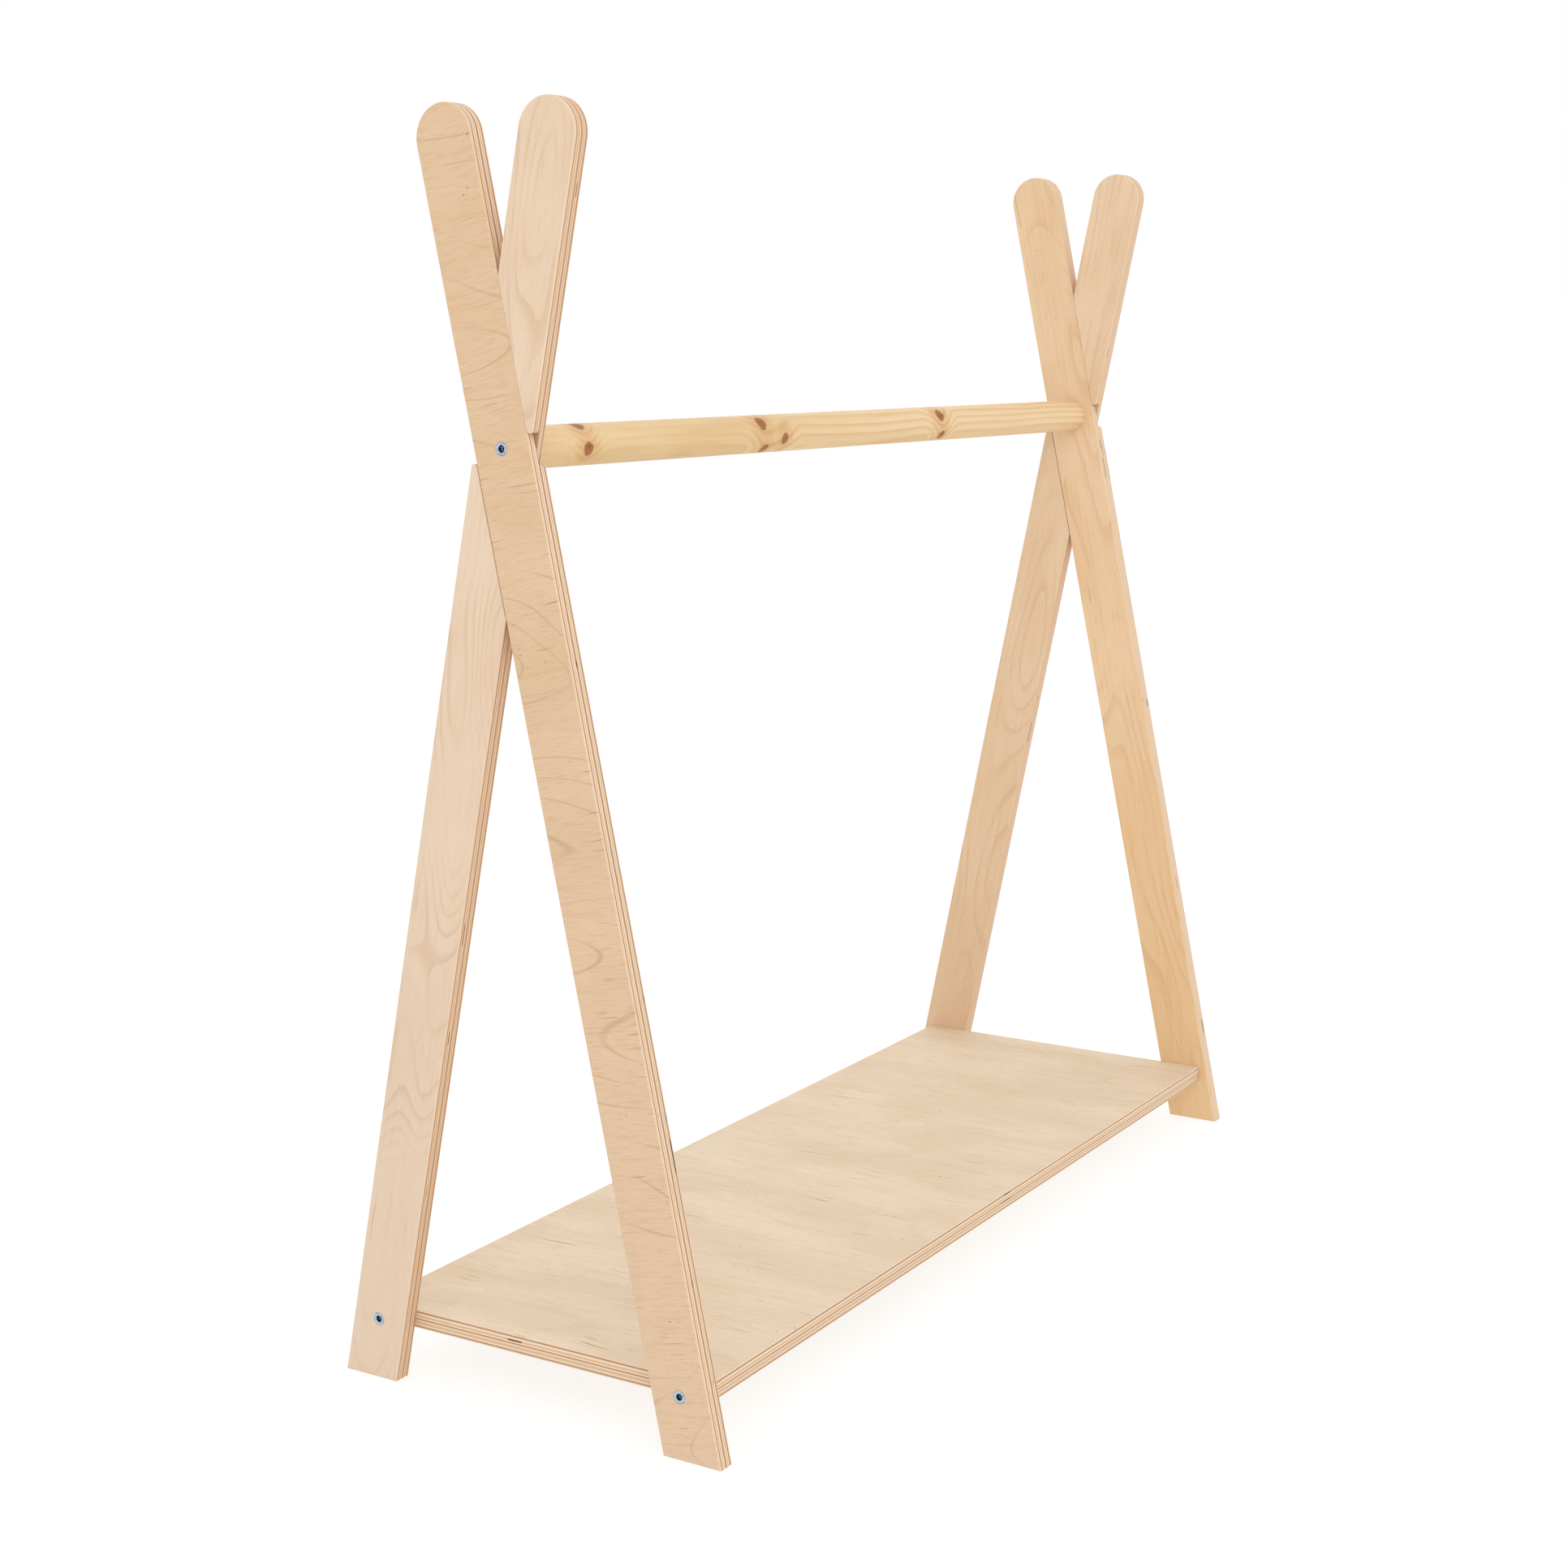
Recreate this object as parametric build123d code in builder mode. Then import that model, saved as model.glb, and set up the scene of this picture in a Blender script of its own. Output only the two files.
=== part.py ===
from build123d import *
import math
import os

# Tipi-shaped clothes rack: two crossed plywood frames, a round hanging rail and a low shelf.
# Frame: X runs along the rail, -Y is the front, +Z is up; the origin is on the floor at the
# centre of the base. Millimetres throughout.

# Driving dimensions
board = 15.0             # thickness of the birch plywood, legs and shelf alike
span = 900.0             # distance between the two frames, so the length of rail and shelf
leg_width = 47.5
lean = 11.8              # each leg's lean from upright, degrees
crossing_height = 704.0  # where the two legs of a frame cross, and where the rail sits
tip_reach = 236.5        # from the crossing to the rounded top, along the leg
shelf_depth = 306.0
shelf_clearance = 40.0   # under the shelf
rail_diameter = 30.0
edge_round = 1.2         # sanded edge on every plywood board
lap_gap = 0.3            # play between a lap's shoulder and the leg that lies in it
lap_tip_radius = 2.6     # rounding of the thin points beside a lap
lap_tip_margin = 3.0     # how far the tip cutter runs out past the leg's side

# Countersunk wood screw, 5 x 50
screw_length = 50.0
head_diameter = 10.0
head_edge = 0.5          # straight rim above the countersink
shank_diameter = 5.0
core_diameter = 3.2
plain_length = 18.0      # unthreaded part, head included
thread_pitch = 2.5
point_length = 5.0
socket_core = 3.3        # six-lobed socket
socket_lobe = 1.3
socket_lobe_circle = 3.1
socket_depth = 2.6

half_width = leg_width / 2
half_span = span / 2
lean_angle = math.radians(lean)
shelf_middle = shelf_clearance + board / 2
foot_offset = crossing_height * math.tan(lean_angle)
screw_offset = (crossing_height - shelf_middle) * math.tan(lean_angle)

os.makedirs("parts", exist_ok=True)


def along(direction):
    """Unit vector up a leg whose top leans towards +Y (direction 1) or -Y (direction -1)."""
    return Vector(direction * math.sin(lean_angle), math.cos(lean_angle))


def across(direction):
    """Unit vector square to that leg, towards +Y."""
    return Vector(math.cos(lean_angle), -direction * math.sin(lean_angle))


def frame_plane(x):
    """Plane whose sketch axes are world Y and Z, and whose normal is +X."""
    return Plane(origin=(x, 0, 0), x_dir=(0, 1, 0), z_dir=(1, 0, 0))


def leg_sketch(x, direction):
    """A leg's outline: foot cut level with the floor, straight sides, half-round top."""
    half_foot = half_width / math.cos(lean_angle)
    foot = Vector(-direction * foot_offset, 0)
    crossing = Vector(0, crossing_height)
    top_centre = crossing + along(direction) * (tip_reach - half_width)
    right_shoulder = top_centre + across(direction) * half_width
    left_shoulder = top_centre - across(direction) * half_width
    tip = crossing + along(direction) * tip_reach
    with BuildSketch(frame_plane(x)) as outline:
        with BuildLine():
            Line(foot + Vector(half_foot, 0), right_shoulder)
            ThreePointArc(right_shoulder, tip, left_shoulder)
            Line(left_shoulder, foot - Vector(half_foot, 0))
            Line(foot - Vector(half_foot, 0), foot + Vector(half_foot, 0))
        make_face()
    return outline.sketch


def lap_sketch(x, direction):
    """What the half lap takes out of a leg: the other leg's width, and the two thin tips."""
    cut_half_width = half_width + lap_gap
    crossing = Vector(0, crossing_height)
    other = -direction
    # A tip lies where the leg's side meets the lap's side; the two meet at twice the lean.
    tangent_length = lap_tip_radius / math.tan(lean_angle)
    with BuildSketch(frame_plane(x)) as lap:
        with Locations(crossing):
            Rectangle(2 * cut_half_width, 2 * tip_reach, rotation=direction * lean)
        for side in (1, -1):
            corner_lift = lap_gap / math.sin(2 * lean_angle)
            corner = crossing + Vector(side * half_width / math.cos(lean_angle), 0)
            corner = corner + along(direction) * side * direction * corner_lift
            on_side = corner + along(direction) * side * direction * tangent_length
            on_lap = corner + along(other) * side * direction * tangent_length
            outward = across(direction) * side * lap_tip_margin
            with BuildLine():
                Polyline(on_lap, corner, corner + outward, on_side + outward, on_side, on_lap)
            make_face()
            centre = on_side - across(direction) * side * lap_tip_radius
            with Locations(centre):
                Circle(lap_tip_radius, mode=Mode.SUBTRACT)
    return lap.sketch


def screw_outline(plane):
    """Half section of a screw from its head down its own axis, the sketch's -Y."""
    head_r = head_diameter / 2
    shank_r = shank_diameter / 2
    core_r = core_diameter / 2
    cone_end = head_edge + head_r - shank_r
    turns = int((screw_length - plain_length - point_length) / thread_pitch)
    points = [(0, 0), (head_r, 0), (head_r, -head_edge), (shank_r, -cone_end)]
    points.append((shank_r, -plain_length + shank_r - core_r))
    for turn in range(turns):
        start = plain_length + turn * thread_pitch
        points.append((core_r, -start))
        points.append((shank_r, -start - thread_pitch / 2))
    points.append((core_r, -plain_length - turns * thread_pitch))
    points.append((core_r, -screw_length + point_length))
    points.append((0, -screw_length))
    with BuildSketch(plane) as section:
        with BuildLine():
            Polyline(*points, close=True)
        make_face()
    return section.sketch


def screw_plane(side, y, z):
    """Section plane of a screw at one end: its head is flush with the frame's outer face."""
    return Plane(origin=(side * (half_span + board), y, z), x_dir=(0, 0, 1), z_dir=(0, side, 0))


def cut_screw_hole(side, y, z):
    """Take the screw's own shape out of the part being built."""
    plane = screw_plane(side, y, z)
    add(revolve(screw_outline(plane), axis=Axis(plane.origin, plane.y_dir), mode=Mode.PRIVATE),
        mode=Mode.SUBTRACT)


def write(part, label):
    """Name a finished piece and write it as its own STEP file."""
    part.label = label
    export_step(part, f"parts/{label}.step")


def make_leg(label, side, outside):
    """One leg. side is -1 for the left frame and 1 for the right one; outside says whether
    the leg runs past the crossing unbroken on the frame's outer face or on its inner face.
    The right frame is the left one turned half round about the vertical."""
    direction = -side if outside else side
    low_x = half_span if side > 0 else -half_span - board
    pocket_low = (side > 0) == outside
    pocket_x = low_x if pocket_low else low_x + board / 2
    with BuildPart() as leg:
        add(leg_sketch(low_x, direction))
        extrude(amount=board, dir=(1, 0, 0))
        faces = leg.faces().sort_by(Axis.X)
        fillet(faces[0].edges() + faces[-1].edges(), radius=edge_round)
        add(lap_sketch(pocket_x, direction))
        extrude(amount=board / 2, dir=(1, 0, 0), mode=Mode.SUBTRACT)
        cut_screw_hole(side, 0, crossing_height)
        cut_screw_hole(side, -direction * screw_offset, shelf_middle)
    write(leg.part, label)


def make_shelf():
    """The shelf: a plain board between the frames, screwed through each leg."""
    with BuildPart() as shelf:
        with BuildSketch(Plane.XY.offset(shelf_clearance)):
            Rectangle(span, shelf_depth)
        extrude(amount=board)
        fillet(shelf.edges(), radius=edge_round)
        for side in (-1, 1):
            for y in (-screw_offset, screw_offset):
                cut_screw_hole(side, y, shelf_middle)
    write(shelf.part, "shelf")


def make_rail():
    """The hanging rail: a pine dowel butted between the two crossings."""
    with BuildPart() as rail:
        with BuildSketch(frame_plane(-half_span)):
            with Locations((0, crossing_height)):
                Circle(rail_diameter / 2)
        extrude(amount=span)
        for side in (-1, 1):
            cut_screw_hole(side, 0, crossing_height)
    write(rail.part, "rail")


def make_screw(label, side, y, z):
    """One countersunk screw with a six-lobed socket."""
    plane = screw_plane(side, y, z)
    with BuildPart() as screw:
        add(screw_outline(plane))
        revolve(axis=Axis(plane.origin, plane.y_dir))
        with BuildSketch(Plane(origin=plane.origin, z_dir=(-side, 0, 0))):
            Circle(socket_core / 2)
            with PolarLocations(socket_lobe_circle / 2, 6):
                Circle(socket_lobe / 2)
        extrude(amount=socket_depth, mode=Mode.SUBTRACT)
    write(screw.part, label)


for end, end_side in (("left", -1), ("right", 1)):
    make_leg(f"{end}_outside_leg", end_side, outside=True)
    make_leg(f"{end}_inside_leg", end_side, outside=False)
    make_screw(f"{end}_rail_screw", end_side, 0, crossing_height)
    make_screw(f"{end}_front_shelf_screw", end_side, -screw_offset, shelf_middle)
    make_screw(f"{end}_rear_shelf_screw", end_side, screw_offset, shelf_middle)
make_shelf()
make_rail()
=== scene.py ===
import math

import bpy
from mathutils import Matrix, Vector


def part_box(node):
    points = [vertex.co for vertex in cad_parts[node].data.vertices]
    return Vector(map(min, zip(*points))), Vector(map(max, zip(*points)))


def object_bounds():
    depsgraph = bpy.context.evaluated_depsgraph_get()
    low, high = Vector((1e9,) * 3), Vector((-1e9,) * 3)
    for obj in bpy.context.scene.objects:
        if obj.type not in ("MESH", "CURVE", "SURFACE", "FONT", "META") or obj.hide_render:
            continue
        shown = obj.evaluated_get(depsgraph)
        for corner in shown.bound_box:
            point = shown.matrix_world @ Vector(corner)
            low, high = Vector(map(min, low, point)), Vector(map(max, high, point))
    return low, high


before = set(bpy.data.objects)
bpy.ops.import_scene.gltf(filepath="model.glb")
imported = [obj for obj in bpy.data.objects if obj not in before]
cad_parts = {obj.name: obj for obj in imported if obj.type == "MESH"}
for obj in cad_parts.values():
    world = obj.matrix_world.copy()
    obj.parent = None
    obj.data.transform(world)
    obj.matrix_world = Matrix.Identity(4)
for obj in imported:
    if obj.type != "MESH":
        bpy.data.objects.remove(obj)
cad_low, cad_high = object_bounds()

# Facts of the rack: lengths in metres, the legs' lean in radians.
BOARD = 0.015
PLIES = 11
PLY = BOARD / PLIES
LEAN = math.radians(11.8)
HEAD_RADIUS = 0.005
# Painted shade fills the socket out to this radius.
SOCKET_RADIUS = 0.0026      # out to the lobes' rounded edge, where the head turns dark
RAIL_LOW, RAIL_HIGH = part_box("rail")
RAIL_RADIUS = (RAIL_HIGH[2] - RAIL_LOW[2]) / 2
RAIL_HEIGHT = (RAIL_HIGH[2] + RAIL_LOW[2]) / 2
SHELF_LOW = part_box("shelf")[0]
LEFT_OUTER = cad_low[0]
RIGHT_OUTER = cad_high[0]
X_AXIS, Y_AXIS, Z_AXIS = (1, 0, 0), (0, 1, 0), (0, 0, 1)


def srgb(red, green, blue):
    """An sRGB colour, 0 to 255, as a linear RGBA value."""
    def linear(value):
        value = value / 255
        return value / 12.92 if value <= 0.04045 else ((value + 0.055) / 1.055) ** 2.4
    return (linear(red), linear(green), linear(blue), 1.0)


class Nodes:
    """A short way to write one material's node tree."""

    def __init__(self, name):
        self.material = bpy.data.materials.new(name)
        self.material.use_nodes = True
        self.tree = self.material.node_tree
        self.tree.nodes.clear()
        output = self.tree.nodes.new("ShaderNodeOutputMaterial")
        self.shader = self.tree.nodes.new("ShaderNodeBsdfPrincipled")
        self.tree.links.new(self.shader.outputs[0], output.inputs[0])
        self.place = self.tree.nodes.new("ShaderNodeTexCoord").outputs["Object"]

    def set(self, socket, value):
        """Link the socket to another node's output, or give it a plain value."""
        if isinstance(value, bpy.types.NodeSocket):
            self.tree.links.new(value, socket)
        else:
            socket.default_value = value

    def math(self, operation, first, second=0.0, third=0.0):
        node = self.tree.nodes.new("ShaderNodeMath")
        node.operation = operation
        for socket, value in zip(node.inputs, (first, second, third)):
            self.set(socket, value)
        return node.outputs[0]

    def dot(self, vector, direction):
        node = self.tree.nodes.new("ShaderNodeVectorMath")
        node.operation = "DOT_PRODUCT"
        self.set(node.inputs[0], vector)
        node.inputs[1].default_value = direction
        return node.outputs["Value"]

    def distance(self, vector, point):
        node = self.tree.nodes.new("ShaderNodeVectorMath")
        node.operation = "DISTANCE"
        self.set(node.inputs[0], vector)
        node.inputs[1].default_value = point
        return node.outputs["Value"]

    def noise(self, x, y, z, scales, detail=2.0, roughness=0.5):
        """Noise over three distances, each first multiplied by its own scale (per metre), or
        left as it is where the scale is None."""
        place = self.tree.nodes.new("ShaderNodeCombineXYZ")
        for socket, value, scale in zip(place.inputs, (x, y, z), scales):
            scaled = value if scale is None else self.math("MULTIPLY", value, scale)
            self.set(socket, scaled)
        node = self.tree.nodes.new("ShaderNodeTexNoise")
        self.set(node.inputs["Vector"], place.outputs[0])
        node.inputs["Scale"].default_value = 1.0
        node.inputs["Detail"].default_value = detail
        node.inputs["Roughness"].default_value = roughness
        return node.outputs["Fac"]

    def random(self, value):
        node = self.tree.nodes.new("ShaderNodeTexWhiteNoise")
        node.noise_dimensions = "1D"
        self.set(node.inputs["W"], value)
        return node.outputs["Value"]

    def ramp(self, value, low, high, out_low=0.0, out_high=1.0):
        """Smooth change from out_low to out_high as value goes from low to high."""
        node = self.tree.nodes.new("ShaderNodeMapRange")
        node.interpolation_type = "SMOOTHSTEP"
        self.set(node.inputs["Value"], value)
        node.inputs["From Min"].default_value = low
        node.inputs["From Max"].default_value = high
        node.inputs["To Min"].default_value = out_low
        node.inputs["To Max"].default_value = out_high
        return node.outputs["Result"]

    def mix(self, amount, first, second):
        node = self.tree.nodes.new("ShaderNodeMix")
        node.data_type = "RGBA"
        # Sockets 6 and 7 are the node's two colours.
        self.set(node.inputs["Factor"], amount)
        self.set(node.inputs[6], first)
        self.set(node.inputs[7], second)
        return node.outputs[2]

    def bump(self, height, strength, distance):
        node = self.tree.nodes.new("ShaderNodeBump")
        node.inputs["Strength"].default_value = strength
        node.inputs["Distance"].default_value = distance
        self.set(node.inputs["Height"], height)
        self.set(self.shader.inputs["Normal"], node.outputs[0])


# Markings on a birch face and on a plywood edge.
HAIR = srgb(172, 126, 84)
CRACK = srgb(150, 104, 66)
PIN = srgb(128, 88, 58)
# Painted highlight on the rounded edge of the face, together with the paler sanded wood there.
SANDED_AND_HIGHLIGHT = srgb(242, 214, 182)
LONG_GRAIN = (srgb(231, 202, 169), srgb(241, 214, 185))
END_GRAIN = (srgb(213, 181, 149), srgb(172, 135, 105))
GRIT = srgb(176, 134, 98)
LONG_STAIN = srgb(218, 180, 142)
PLY_STAIN = srgb(188, 146, 108)
GLUE = srgb(164, 122, 88)
VOID = srgb(84, 54, 34)
# Painted shade: the brown that darkens edges standing in shade.
EDGE_PAINTED_SHADE = srgb(198, 150, 108)
LOW_TINT_FROM = 0.75        # a board's low tint grows from this height down to the floor
PLY_SQUEEZE = 0.00034       # how far the plies' borders are pushed from even spacing
PLY_SQUEEZE_RATE = 900.0    # radians per metre of thickness
PLY_WANDER = 0.0004         # how far the borders wander along a board
DARK_PLY_EVERY = 4.0        # one ply in four is the darkest
FACE_BUMP = 0.00012
EDGE_SPAN = (0.80 * PLY, 0.90 * PLY)        # from the face, where it gives way to the edge
SANDED_HIGHLIGHT_SPAN = (0.00006, 0.0004)             # from the face, where it turns paler
BIRCH_ROUGHNESS = (0.50, 0.68)
BIRCH_SHEEN = 0.3

# The rail's wood: where its pith lies, how its rings run and its colours.
PITH_SIDE = 0.026
PITH_UP = 0.034
RING_SWELL = 0.022
RINGS_PER_METRE = 165.0
KNOT_REACH = 4.2            # knot sizes out to which the rings swerve
KNOT_SWERVE = 0.0085
RAIL_HALF_LENGTH = (RAIL_HIGH[0] - RAIL_LOW[0]) / 2
RAIL_BUMP = 0.00015
KNOT_CORE_SPAN = (1.1, 0.35)    # in knot sizes, from outside to full strength
KNOT_HALO_SPAN = (2.8, 0.8)
PINE_ROUGHNESS = (0.46, 0.64)
PINE_SHEEN = 0.35
SAPWOOD = (srgb(214, 181, 130), srgb(225, 196, 149))
SAPWOOD_RIGHT = srgb(232, 203, 162)
LATE_WOOD = srgb(200, 150, 88)
RAIL_STREAK = srgb(206, 164, 112)
KNOT_HALO = srgb(206, 156, 98)
KNOT_WOOD = srgb(150, 88, 44)
KNOT_HEART = srgb(104, 58, 28)
# Knots: distance along the rail (m), angle round it (degrees), size (m).
KNOTS = [(-0.386, 113, 0.0078), (-0.384, 190, 0.0072), (-0.150, 142, 0.0085),
         (-0.143, 230, 0.0068), (-0.118, 196, 0.0066), (0.148, 147, 0.0084),
         (0.153, 221, 0.0066), (0.330, 40, 0.0066), (-0.260, 320, 0.0078),
         (0.040, 15, 0.0066)]

# The screws' zinc plate.
ZINC = (srgb(150, 172, 192), srgb(206, 216, 226))
ZINC_SCRATCH = srgb(118, 130, 142)
# Painted shade: the dark ring at the countersink's rim and the black in the socket.
RIM_PAINTED_SHADE = srgb(70, 82, 92)
SOCKET_PAINTED_SHADE = srgb(7, 8, 10)
ZINC_BUMP = 0.00006
ZINC_ROUGHNESS = (0.28, 0.5)
ZINC_METAL = 0.8
RIM_SHADE_SPAN = (0.86 * HEAD_RADIUS, HEAD_RADIUS)
SOCKET_SHADE_SPAN = (1.12 * SOCKET_RADIUS, 0.9 * SOCKET_RADIUS)


def year_lines(n, field, count, start):
    """Lines where a smooth field crosses even steps: each fades in from start (0 to 1 of a step)
    and ends sharply."""
    step = n.math("FRACT", n.math("MULTIPLY", field, count))
    return n.math("MULTIPLY", n.ramp(step, start, 0.95), n.ramp(step, 1.0, 0.96))


def veneer(n, along, across, seed, look):
    """The face of a rotary-cut birch board. along and across are distances on the board;
    returns its colour and its fibre height."""
    cloud = n.noise(along, across, seed, (6.0, 16.0, None), 3.0)
    blotch = n.noise(along, across, seed + 11.9, (9.0, 13.0, None), 2.0)
    field = n.noise(along, across, seed + 7.3, (look["stretch"], look["spread"], None), 1.0, 0.25)
    lines = year_lines(n, field, look["lines"], look["start"])
    line_fade = n.noise(along, across, seed + 4.4, (11.0, 16.0, None), 1.0)
    lines = n.math("MULTIPLY", lines, n.ramp(line_fade, 0.38, 0.62, 0.15, 1.0))
    streak = n.noise(along, across, seed + 1.7, (14.0, 330.0, None), 3.0, 0.6)
    fibre = n.noise(along, across, seed + 3.1, (75.0, 1300.0, None), 2.0, 0.6)
    colour = n.mix(n.ramp(cloud, 0.3, 0.7), look["middle"], look["light"])
    colour = n.mix(n.ramp(blotch, 0.48, 0.75, 0.0, look["blotch"]), colour, look["flame"])
    lowness = n.ramp(n.dot(n.place, Z_AXIS), LOW_TINT_FROM, 0.0, 0.0, look["low_tint"])
    colour = n.mix(lowness, colour, look["low"])
    colour = n.mix(n.math("MULTIPLY", lines, look["figure"]), colour, look["dark"])
    colour = n.mix(n.ramp(streak, 0.5, 0.8, 0.0, look["streak"]), colour, look["dark"])
    colour = n.mix(n.ramp(streak, 0.48, 0.22, 0.0, look["streak"]), colour, look["light"])
    colour = n.mix(n.ramp(fibre, 0.45, 0.85, 0.0, look["fibre"]), colour, look["dark"])
    return colour, n.math("ADD", fibre, n.math("MULTIPLY", streak, 0.6))


def flecks(n, face, along, across, seed, amount):
    """Pin marks, short dark hairs and rare longer cracks, all along the fibres. Returns the
    face's colour and where it is dented."""
    region = n.noise(along, across, seed + 29.0, (15.0, 19.0, None), 1.0)
    pin = n.noise(along, across, seed + 23.0, (240.0, 500.0, None), 0.0)
    pins = n.math("MULTIPLY", n.ramp(pin, 0.79, 0.83), n.ramp(region, 0.58, 0.64, 0.0, amount))
    hair = n.noise(along, across, seed + 31.0, (38.0, 620.0, None), 0.0)
    hairs = n.math("MULTIPLY", n.ramp(hair, 0.73, 0.80), n.ramp(region, 0.44, 0.56, 0.0, amount))
    bend = n.noise(along, across, seed + 37.0, (9.0, 14.0, None), 1.0)
    crack_place = n.math("MULTIPLY_ADD", bend, 0.02, across)
    crack = n.noise(along, crack_place, seed + 41.0, (15.0, 700.0, None), 0.0)
    cracks = n.math("MULTIPLY", n.ramp(crack, 0.75, 0.80), n.ramp(region, 0.46, 0.38, 0.0, amount))
    face = n.mix(n.math("MULTIPLY", hairs, 0.5), face, HAIR)
    face = n.mix(n.math("MULTIPLY", cracks, 0.8), face, CRACK)
    face = n.mix(n.math("MULTIPLY", pins, 0.8), face, PIN)
    return face, n.math("MAXIMUM", cracks, pins)


def ply_edge(n, depth, along, across, seed, contrast):
    """A sawn edge: eleven plies of uneven thickness, every second one end grain, with a few
    small voids. contrast says how far the end grain stands out. Returns colour and height."""
    wave = n.math("SINE", n.math("MULTIPLY_ADD", depth, PLY_SQUEEZE_RATE, seed))
    squeezed = n.math("MULTIPLY_ADD", wave, PLY_SQUEEZE, depth)
    wander = n.noise(along, across, seed + 2.0, (12.0, 12.0, None), 1.0)
    shift = n.math("MULTIPLY_ADD", wander, PLY_WANDER, -PLY_WANDER / 2)
    plies = n.math("DIVIDE", n.math("ADD", squeezed, shift), PLY)
    index = n.math("FLOOR", plies)
    inside = n.math("SUBTRACT", plies, index)
    odd = n.math("MODULO", n.math("ABSOLUTE", index), 2.0)
    tint = n.random(n.math("ADD", index, seed))
    in_four = n.math("MODULO", n.math("ABSOLUTE", index), DARK_PLY_EVERY)
    dark_ply = n.math("COMPARE", in_four, 1.0, 0.5)
    long_grain = n.mix(tint, *LONG_GRAIN)
    end_grain = n.mix(dark_ply, *END_GRAIN)
    drift = n.noise(along, across, depth, (40.0, 40.0, 2600.0), 3.0, 0.6)
    grit = n.noise(along, across, depth, (600.0, 600.0, 1400.0), 2.0, 0.6)
    end_grain = n.mix(n.ramp(grit, 0.42, 0.75, 0.0, 0.35), end_grain, GRIT)
    long_grain = n.mix(n.ramp(drift, 0.5, 0.8, 0.0, 0.45), long_grain, LONG_STAIN)
    colour = n.mix(n.math("MULTIPLY", odd, contrast), long_grain, end_grain)
    colour = n.mix(n.ramp(drift, 0.55, 0.8, 0.0, 0.3), colour, PLY_STAIN)
    glue = n.math("MINIMUM", inside, n.math("SUBTRACT", 1.0, inside))
    colour = n.mix(n.ramp(glue, 0.10, 0.0, 0.0, 0.3), colour, GLUE)
    row = n.math("MULTIPLY", n.random(n.math("ADD", index, seed + 50.0)), 40.0)
    gap = n.noise(along, across, row, (26.0, 26.0, None), 1.0)
    in_end_grain = n.math("MULTIPLY", odd, n.ramp(glue, 0.03, 0.15))
    voids = n.math("MULTIPLY", n.ramp(gap, 0.70, 0.73), in_end_grain)
    colour = n.mix(voids, colour, VOID)
    return colour, n.math("SUBTRACT", drift, n.math("MULTIPLY", voids, 4.0))


def plywood(name, thickness_axis, low, fibres, cross, seed, look):
    """Birch plywood: a veneered face and, past the outer plies, striped edges. low is where the
    board's thickness starts; fibres and cross are unit vectors along and across the face grain."""
    n = Nodes(name)
    depth = n.math("SUBTRACT", n.dot(n.place, thickness_axis), low)
    along = n.dot(n.place, fibres)
    across = n.dot(n.place, cross)
    face, fibre_height = veneer(n, along, across, seed, look)
    face, dents = flecks(n, face, along, across, seed, look["flecks"])
    edge, edge_height = ply_edge(n, depth, along, across, seed, look["plies"])
    # Painted shade: edges that stand in shade are darkened towards brown.
    edge = n.mix(look["edge_painted_shade"], edge, EDGE_PAINTED_SHADE)

    # The outer ply belongs to the face; where it is sanded round it is paler, partly from the
    # sanding and partly as a painted highlight along the rounding.
    from_face = n.math("MINIMUM", depth, n.math("SUBTRACT", BOARD, depth))
    is_edge = n.ramp(from_face, *EDGE_SPAN)
    sanded_and_highlight = n.ramp(from_face, *SANDED_HIGHLIGHT_SPAN)
    face = n.mix(n.math("MULTIPLY", sanded_and_highlight, 0.4), face, SANDED_AND_HIGHLIGHT)
    n.set(n.shader.inputs["Base Color"], n.mix(is_edge, face, edge))
    n.set(n.shader.inputs["Roughness"], n.ramp(fibre_height, 0.3, 1.2, *BIRCH_ROUGHNESS))
    n.shader.inputs["Specular IOR Level"].default_value = BIRCH_SHEEN
    is_face = n.math("SUBTRACT", 1.0, is_edge)
    face_height = n.math("SUBTRACT", fibre_height, n.math("MULTIPLY", dents, 1.5))
    height = n.math("MULTIPLY", face_height, is_face)
    height = n.math("MULTIPLY_ADD", edge_height, is_edge, height)
    n.bump(height, 0.3, FACE_BUMP)
    return n.material


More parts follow.
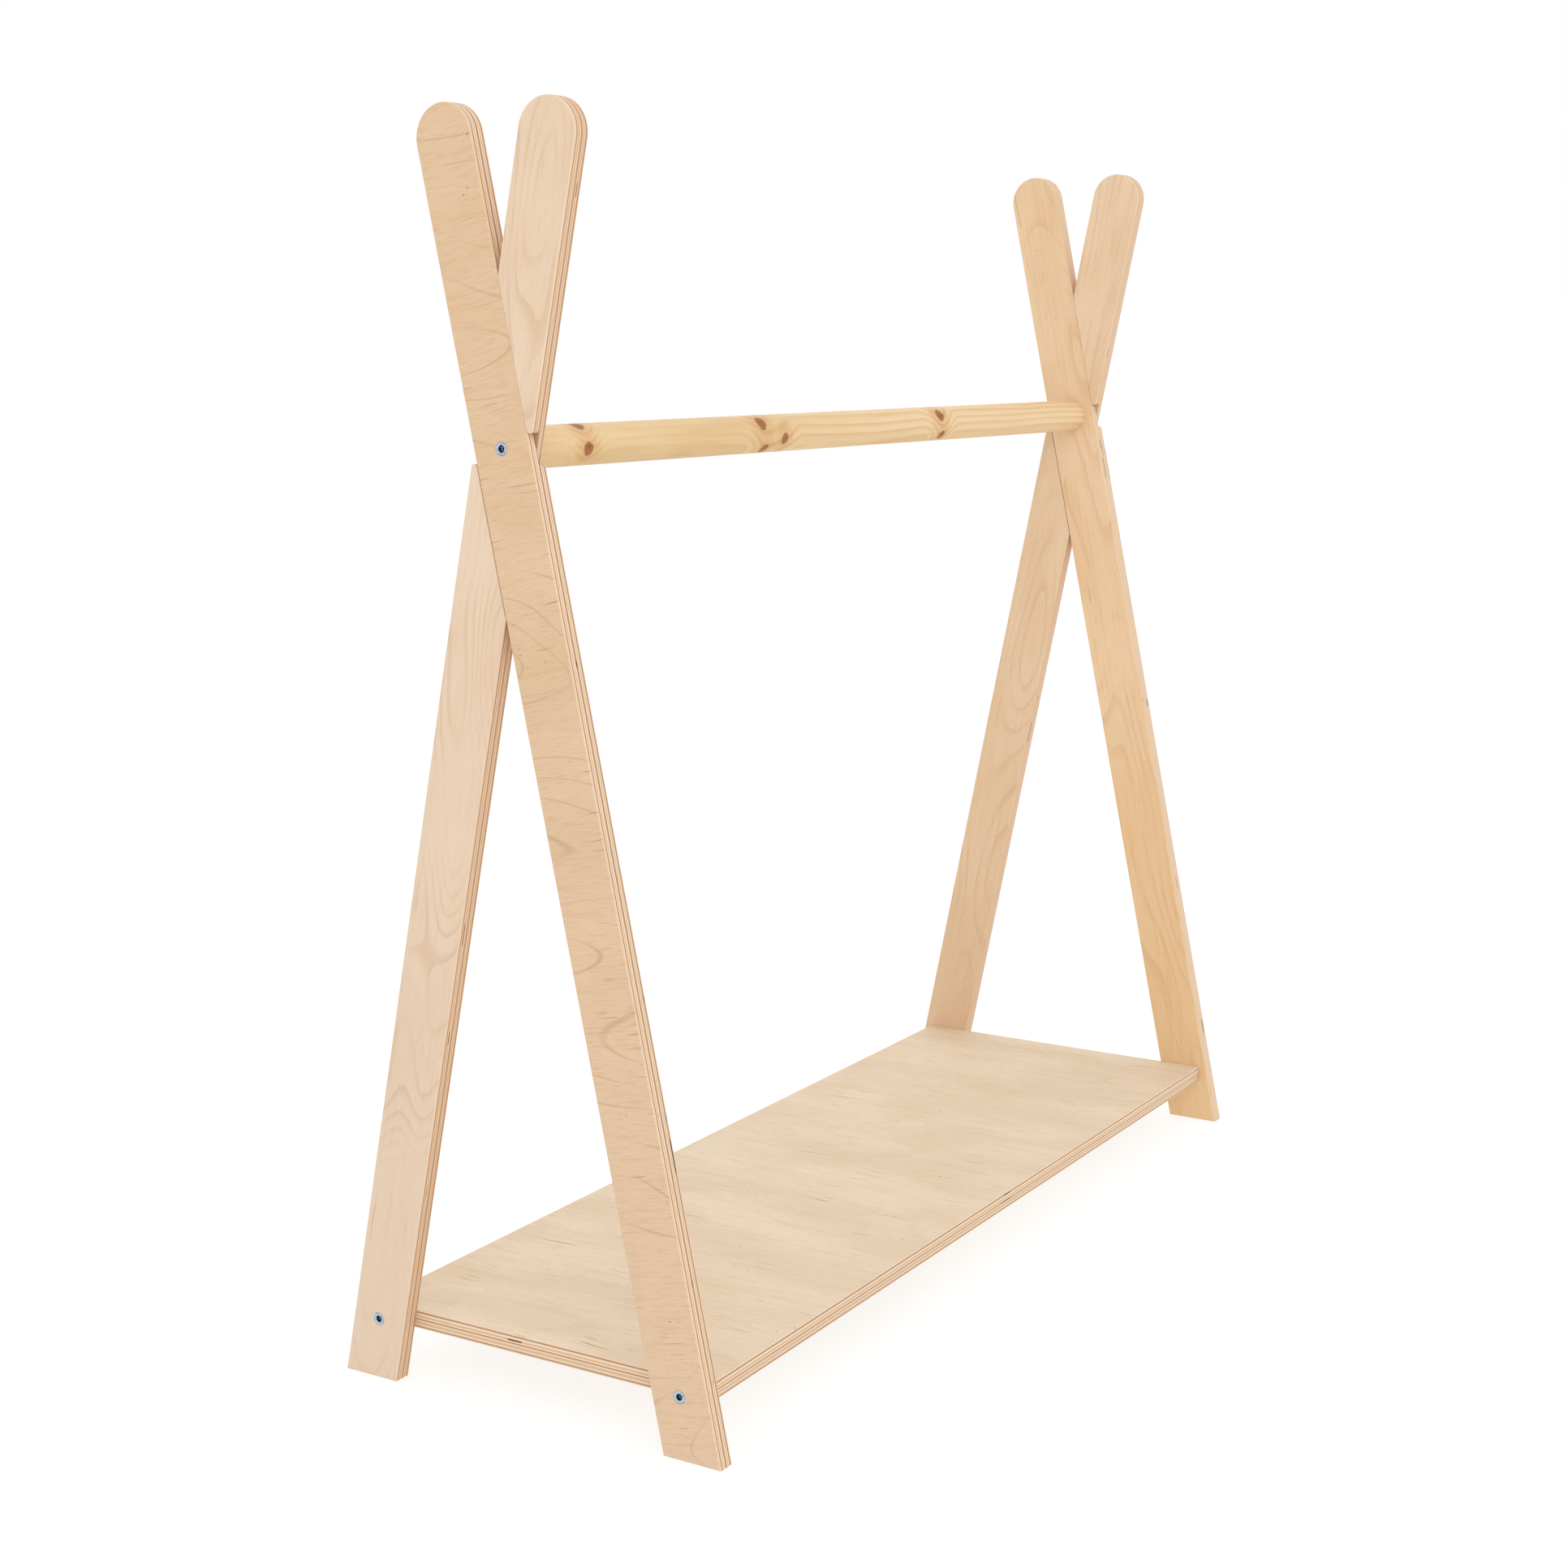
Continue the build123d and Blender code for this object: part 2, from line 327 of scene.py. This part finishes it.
def pine(name):
    """A dowel turned from knotty pine: growth rings cut lengthwise, which swerve round knots."""
    n = Nodes(name)
    along = n.dot(n.place, X_AXIS)
    side = n.dot(n.place, Y_AXIS)
    up = n.math("SUBTRACT", n.dot(n.place, Z_AXIS), RAIL_HEIGHT)
    swell = n.noise(along, side, up, (2.6, 16.0, 16.0), 1.0)
    pith_side = n.math("ADD", side, PITH_SIDE)
    pith_up = n.math("ADD", up, PITH_UP)
    square = n.math("ADD", n.math("POWER", pith_side, 2.0), n.math("POWER", pith_up, 2.0))
    ring = n.math("MULTIPLY_ADD", swell, RING_SWELL, n.math("SQRT", square))
    core = 0.0
    halo = 0.0
    for x, angle, size in KNOTS:
        radians = math.radians(angle)
        knot_y = RAIL_RADIUS * math.cos(radians)
        knot_z = RAIL_HEIGHT + RAIL_RADIUS * math.sin(radians)
        distance = n.math("DIVIDE", n.distance(n.place, (x, knot_y, knot_z)), size)
        ring = n.math("ADD", ring, n.ramp(distance, KNOT_REACH, 0.0, 0.0, KNOT_SWERVE))
        core = n.math("MAXIMUM", n.ramp(distance, *KNOT_CORE_SPAN), core)
        halo = n.math("MAXIMUM", n.ramp(distance, *KNOT_HALO_SPAN), halo)
    lines = year_lines(n, ring, RINGS_PER_METRE, 0.35)
    streak = n.noise(along, side, up, (14.0, 420.0, 420.0), 3.0, 0.6)
    cloud = n.noise(along, side, up, (6.0, 40.0, 40.0), 2.0)
    patch = n.noise(along, side, up, (3.0, 25.0, 25.0), 1.0)
    colour = n.mix(n.ramp(cloud, 0.3, 0.7), *SAPWOOD)
    rightness = n.ramp(along, -RAIL_HALF_LENGTH, RAIL_HALF_LENGTH, 0.0, 0.8)
    colour = n.mix(rightness, colour, SAPWOOD_RIGHT)
    line_strength = n.ramp(patch, 0.35, 0.65, 0.12, 0.42)
    line_strength = n.math("MULTIPLY_ADD", halo, 0.45, line_strength)
    colour = n.mix(n.math("MULTIPLY", lines, line_strength), colour, LATE_WOOD)
    colour = n.mix(n.ramp(streak, 0.5, 0.8, 0.0, 0.3), colour, RAIL_STREAK)
    colour = n.mix(n.math("MULTIPLY", halo, 0.5), colour, KNOT_HALO)
    ragged = n.math("ADD", core, n.math("MULTIPLY_ADD", streak, 0.8, -0.4))
    colour = n.mix(n.ramp(ragged, 0.25, 0.7, 0.0, 0.92), colour, KNOT_WOOD)
    colour = n.mix(n.ramp(ragged, 0.95, 1.25, 0.0, 0.75), colour, KNOT_HEART)
    n.set(n.shader.inputs["Base Color"], colour)
    n.set(n.shader.inputs["Roughness"], n.ramp(streak, 0.3, 0.8, *PINE_ROUGHNESS))
    n.shader.inputs["Specular IOR Level"].default_value = PINE_SHEEN
    n.bump(n.math("ADD", streak, n.math("MULTIPLY", lines, 0.4)), 0.3, RAIL_BUMP)
    return n.material


def zinc(name, centre):
    """Bright zinc plate, scratched, with painted shade in the socket and painted shade at the
    countersink's rim.
    """
    n = Nodes(name)
    radius = n.distance(n.place, centre)
    x, y, z = (n.dot(n.place, axis) for axis in (X_AXIS, Y_AXIS, Z_AXIS))
    cloud = n.noise(x, y, z, (700.0, 700.0, 700.0))
    fine = n.noise(x, y, z, (4200.0, 4200.0, 4200.0))
    colour = n.mix(n.ramp(cloud, 0.35, 0.7), *ZINC)
    colour = n.mix(n.ramp(fine, 0.5, 0.85, 0.0, 0.3), colour, ZINC_SCRATCH)
    # Painted shade at the countersink's rim and, below, in the socket.
    rim_shade = n.ramp(radius, *RIM_SHADE_SPAN, 0.0, 0.75)
    colour = n.mix(rim_shade, colour, RIM_PAINTED_SHADE)
    colour = n.mix(n.ramp(radius, *SOCKET_SHADE_SPAN), colour, SOCKET_PAINTED_SHADE)
    n.set(n.shader.inputs["Base Color"], colour)
    n.set(n.shader.inputs["Roughness"], n.ramp(fine, 0.3, 0.8, *ZINC_ROUGHNESS))
    n.shader.inputs["Metallic"].default_value = ZINC_METAL
    n.bump(n.math("ADD", fine, cloud), 0.25, ZINC_BUMP)
    return n.material


def assign(node, material):
    """Put a material on a CAD node, leaving its mesh alone."""
    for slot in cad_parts[node].material_slots:
        slot.material = material


def leg_axes(lean_sign):
    """Unit vectors up a leg and across its face; lean_sign is 1 where the top leans to +Y."""
    up = (0.0, lean_sign * math.sin(LEAN), math.cos(LEAN))
    across = (0.0, math.cos(LEAN), -lean_sign * math.sin(LEAN))
    return up, across


# Looks of the boards. First colours: light and middle are the wood, flame its blotches, dark its
# lines and fibres, low a tint near the floor. Then how strongly each marking shows: blotch,
# figure (year lines), streak, fibre, flecks and low_tint. stretch and spread set the year lines'
# field along and across the fibres (per metre), lines how many there are and start how wide.
# plies is the contrast of the plies on the edges, and the last value how much painted shade darkens
# the edges to brown.
TAN = {"light": srgb(221, 191, 156), "middle": srgb(215, 182, 145), "dark": srgb(172, 130, 90),
       "flame": srgb(216, 181, 140), "blotch": 0.35, "figure": 0.36, "streak": 0.22, "fibre": 0.4,
       "flecks": 0.9, "stretch": 2.6, "spread": 10.0, "lines": 15.0, "start": 0.90,
       "low": srgb(219, 189, 160), "low_tint": 0.75, "plies": 1.0, "edge_painted_shade": 0.0}
PINK = {"light": srgb(228, 205, 180), "middle": srgb(221, 194, 167), "dark": srgb(194, 153, 108),
        "flame": srgb(222, 192, 158), "blotch": 0.5, "figure": 0.30, "streak": 0.16, "fibre": 0.2,
        "flecks": 0.3, "stretch": 4.5, "spread": 16.0, "lines": 26.0, "start": 0.5,
        "low": srgb(220, 197, 174), "low_tint": 0.7, "plies": 1.0, "edge_painted_shade": 0.28}
HONEY = {"light": srgb(229, 199, 163), "middle": srgb(223, 190, 151), "dark": srgb(180, 130, 82),
         "flame": srgb(221, 180, 132), "blotch": 0.5, "figure": 0.20, "streak": 0.22, "fibre": 0.2,
         "flecks": 0.7, "stretch": 4.0, "spread": 15.0, "lines": 14.0, "start": 0.55,
         "low": srgb(229, 191, 142), "low_tint": 0.65, "plies": 0.45, "edge_painted_shade": 0.1}
AMBER = {"light": srgb(226, 197, 164), "middle": srgb(218, 186, 150), "dark": srgb(182, 136, 94),
         "flame": srgb(218, 181, 142), "blotch": 0.45, "figure": 0.24, "streak": 0.18, "fibre": 0.2,
         "flecks": 0.3, "stretch": 3.2, "spread": 16.0, "lines": 18.0, "start": 0.55,
         "low": srgb(217, 187, 152), "low_tint": 0.4, "plies": 0.45, "edge_painted_shade": 0.3}
PALE = {"light": srgb(226, 207, 181), "middle": srgb(218, 196, 168), "dark": srgb(176, 140, 98),
        "flame": srgb(214, 188, 154), "blotch": 0.5, "figure": 0.08, "streak": 0.24, "fibre": 0.28,
        "flecks": 1.0, "stretch": 3.0, "spread": 8.0, "lines": 9.0, "start": 0.8,
        "low": srgb(224, 204, 178), "low_tint": 0.0, "plies": 1.0, "edge_painted_shade": 0.0}


def dress_legs():
    """Each leg has a seed of its own, so that no two boards carry the same markings."""
    left_low = LEFT_OUTER
    right_low = RIGHT_OUTER - BOARD
    up, across = leg_axes(1)
    # The left outside leg was cut across the sheet, so its fibres run from side to side.
    assign("left_outside_leg", plywood("birch_tan", X_AXIS, left_low, across, up, 3.0, TAN))
    assign("right_inside_leg", plywood("birch_honey", X_AXIS, right_low, up, across, 19.0, HONEY))
    up, across = leg_axes(-1)
    assign("left_inside_leg", plywood("birch_pink", X_AXIS, left_low, up, across, 41.0, PINK))
    assign("right_outside_leg", plywood("birch_amber", X_AXIS, right_low, up, across, 67.0, AMBER))


def dress_screws():
    """A material for each screw, centred on its head."""
    for end, head_x in (("left", LEFT_OUTER), ("right", RIGHT_OUTER)):
        for screw in ("rail", "front_shelf", "rear_shelf"):
            node = f"{end}_{screw}_screw"
            low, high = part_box(node)
            centre = (head_x, (low[1] + high[1]) / 2, (low[2] + high[2]) / 2)
            assign(node, zinc(f"zinc_{end}_{screw}", centre))


FLOOR_REACH = 400.0
FLOOR_SHADES = ((0.30, 0.30, 0.30, 1.0), (0.31, 0.31, 0.31, 1.0))
FLOOR_GLOW = 0.74
WHITE = (1.0, 1.0, 1.0, 1.0)


def make_floor():
    """A white floor that glows a little, so that it stays white, and reaches far past the view."""
    reach = FLOOR_REACH
    mesh = bpy.data.meshes.new("floor")
    corners = [(-reach, -reach, 0), (reach, -reach, 0), (reach, reach, 0), (-reach, reach, 0)]
    mesh.from_pydata(corners, [], [(0, 1, 2, 3)])
    floor = bpy.data.objects.new("floor", mesh)
    bpy.context.scene.collection.objects.link(floor)
    n = Nodes("white_floor")
    speckle = n.noise(n.dot(n.place, X_AXIS), n.dot(n.place, Y_AXIS), 0.0, (60.0, 60.0, None))
    n.set(n.shader.inputs["Base Color"], n.mix(speckle, *FLOOR_SHADES))
    n.shader.inputs["Roughness"].default_value = 0.9
    n.shader.inputs["Specular IOR Level"].default_value = 0.0
    n.shader.inputs["Emission Color"].default_value = WHITE
    n.shader.inputs["Emission Strength"].default_value = FLOOR_GLOW
    mesh.materials.append(n.material)


# Lamps: name, place (m), size (m) and power (W). Both aim at the rack's middle.
LAMPS = (("key", (-2.2, -2.4, 3.0), 2.4, 26.0),
         ("fill", (2.4, 1.8, 2.6), 2.6, 10.0))
LAMP_TARGET = Vector((0.0, 0.0, 0.45))
ROOM_STRENGTH = 1.0


def area_light(name, place, size, power):
    data = bpy.data.lights.new(name, "AREA")
    data.shape = "SQUARE"
    data.size = size
    data.energy = power
    light = bpy.data.objects.new(name, data)
    light.location = place
    aim = LAMP_TARGET - Vector(place)
    light.rotation_euler = aim.to_track_quat("-Z", "Y").to_euler()
    bpy.context.scene.collection.objects.link(light)


def make_light():
    """A white room with a broad lamp over the camera and a weaker one behind."""
    world = bpy.data.worlds.new("white_room")
    bpy.context.scene.world = world
    world.use_nodes = True
    background = world.node_tree.nodes["Background"]
    background.inputs["Color"].default_value = WHITE
    background.inputs["Strength"].default_value = ROOM_STRENGTH
    for name, place, size, power in LAMPS:
        area_light(name, place, size, power)


CAMERA_PLACE = Vector((-1.8020, -1.0481, 0.7703))
CAMERA_YAW, CAMERA_PITCH, CAMERA_ROLL = 31.603, -10.06, -0.242      # degrees
CAMERA_SENSOR, CAMERA_LENS = 36.0, 56.28                            # mm
CAMERA_FAR_CLIP = 1000.0


def make_camera():
    """The view is from the left frame's side, from in front and a little above."""
    yaw, pitch, roll = (math.radians(angle) for angle in (CAMERA_YAW, CAMERA_PITCH, CAMERA_ROLL))
    flat = math.cos(pitch)
    forward = Vector((flat * math.cos(yaw), flat * math.sin(yaw), math.sin(pitch)))
    level = Vector((math.sin(yaw), -math.cos(yaw), 0.0))
    upright = level.cross(forward)
    right = level * math.cos(roll) + upright * math.sin(roll)
    up = upright * math.cos(roll) - level * math.sin(roll)
    data = bpy.data.cameras.new("camera")
    data.sensor_width = CAMERA_SENSOR
    data.lens = CAMERA_LENS
    data.clip_end = CAMERA_FAR_CLIP
    camera = bpy.data.objects.new("camera", data)
    turn = Matrix((right, up, -forward)).transposed().to_4x4()
    camera.matrix_world = Matrix.Translation(CAMERA_PLACE) @ turn
    bpy.context.scene.collection.objects.link(camera)
    bpy.context.scene.camera = camera


make_camera()
make_light()
make_floor()
dress_legs()
# The shelf's fibres run from front to back.
assign("shelf", plywood("birch_pale", Z_AXIS, SHELF_LOW[2], Y_AXIS, X_AXIS, 87.0, PALE))
assign("rail", pine("knotty_pine"))
dress_screws()
bpy.context.scene.view_settings.view_transform = "Standard"
